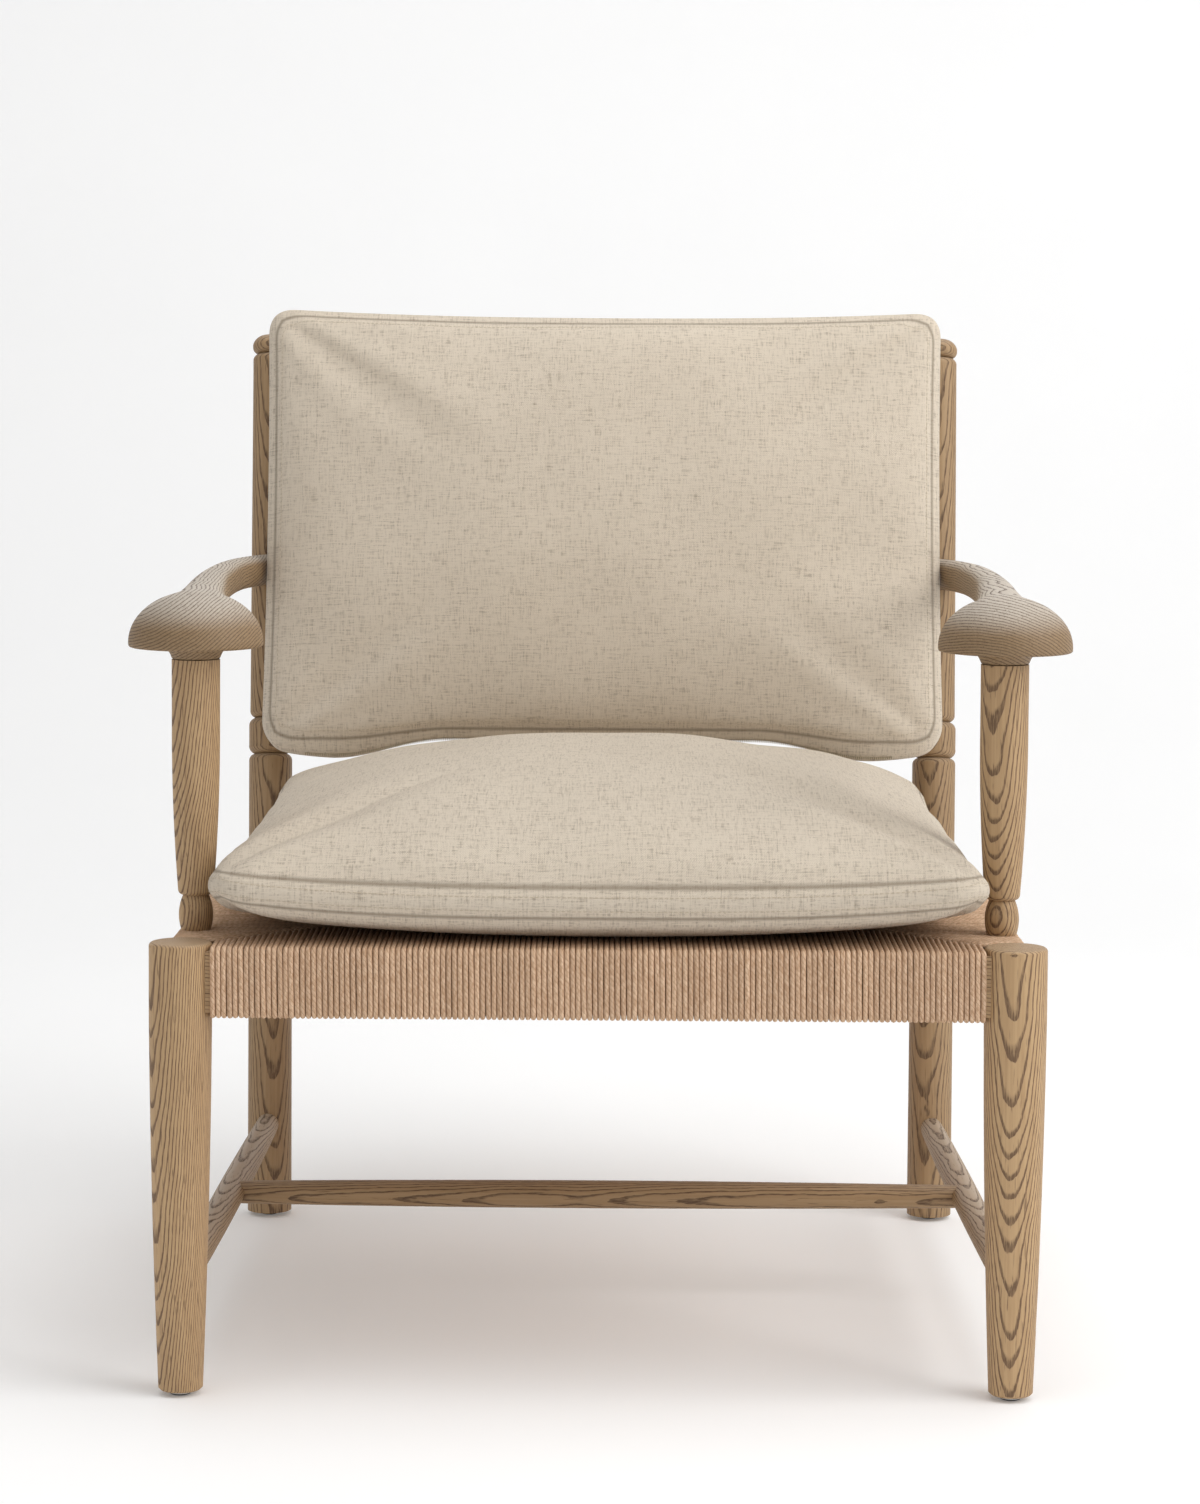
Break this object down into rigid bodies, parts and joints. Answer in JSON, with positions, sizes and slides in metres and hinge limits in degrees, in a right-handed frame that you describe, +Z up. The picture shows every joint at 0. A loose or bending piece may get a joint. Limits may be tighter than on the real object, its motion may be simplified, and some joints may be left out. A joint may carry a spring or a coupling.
{
  "type": "wooden armchair",
  "caption": "Lounge armchair with a turned wooden frame, carved arms, a paper-cord seat, ladder back and loose seat and back cushions.",
  "frame": {"origin": "on the floor below the middle of the chair's box", "axes": "+Z up, the chair faces -Y, +X to the right of someone who looks at its front"},
  "size_m": [0.758, 0.8206, 0.8734],
  "materials": {
    "ash_wood": "matt washed ash with dark open grain",
    "paper_cord": "matt twisted paper cord",
    "linen": "plain-woven flecked linen",
    "cushion_filling": "foam wrapped in wadding",
    "zip": "matt nylon coil",
    "steel": "plain zinc-plated steel",
    "glide_plastic": "matt black nylon"
  },
  "bodies": {
    "frame": {"front_leg_left": "ash_wood", "front_leg_right": "ash_wood", "rear_post_left": "ash_wood", "rear_post_right": "ash_wood", "arm_left": "ash_wood", "arm_right": "ash_wood", "arm_post_left": "ash_wood", "arm_post_right": "ash_wood", "side_seat_rail_left": "ash_wood", "side_seat_rail_right": "ash_wood", "side_stretcher_left": "ash_wood", "side_stretcher_right": "ash_wood", "front_seat_rail": "ash_wood", "rear_seat_rail": "ash_wood", "cross_stretcher": "ash_wood", "back_slat_lower": "ash_wood", "back_slat_middle": "ash_wood", "back_slat_upper": "ash_wood", "arm_screw_plugs": "ash_wood", "woven_seat": "paper_cord", "arm_screws": "steel", "foot_glide_cups": "steel", "foot_glide_pads": "glide_plastic", "foot_glide_nails": "steel"},
    "seat_cushion": {"seat_cushion_cover": "linen", "seat_cushion_insert": "cushion_filling", "seat_cushion_zip": "zip"},
    "back_cushion": {"back_cushion_cover": "linen", "back_cushion_insert": "cushion_filling", "back_cushion_zip": "zip"}
  },
  "joints": [
    {"name": "seat_cushion_slide", "type": "slide", "parent": "frame", "child": "seat_cushion", "axis": [0, -1, 0], "range_m": [0, 0.66]},
    {"name": "back_cushion_slide", "type": "slide", "parent": "frame", "child": "back_cushion", "axis": [0, 0.1766, 0.9843], "range_m": [0, 0.46]}
  ]
}
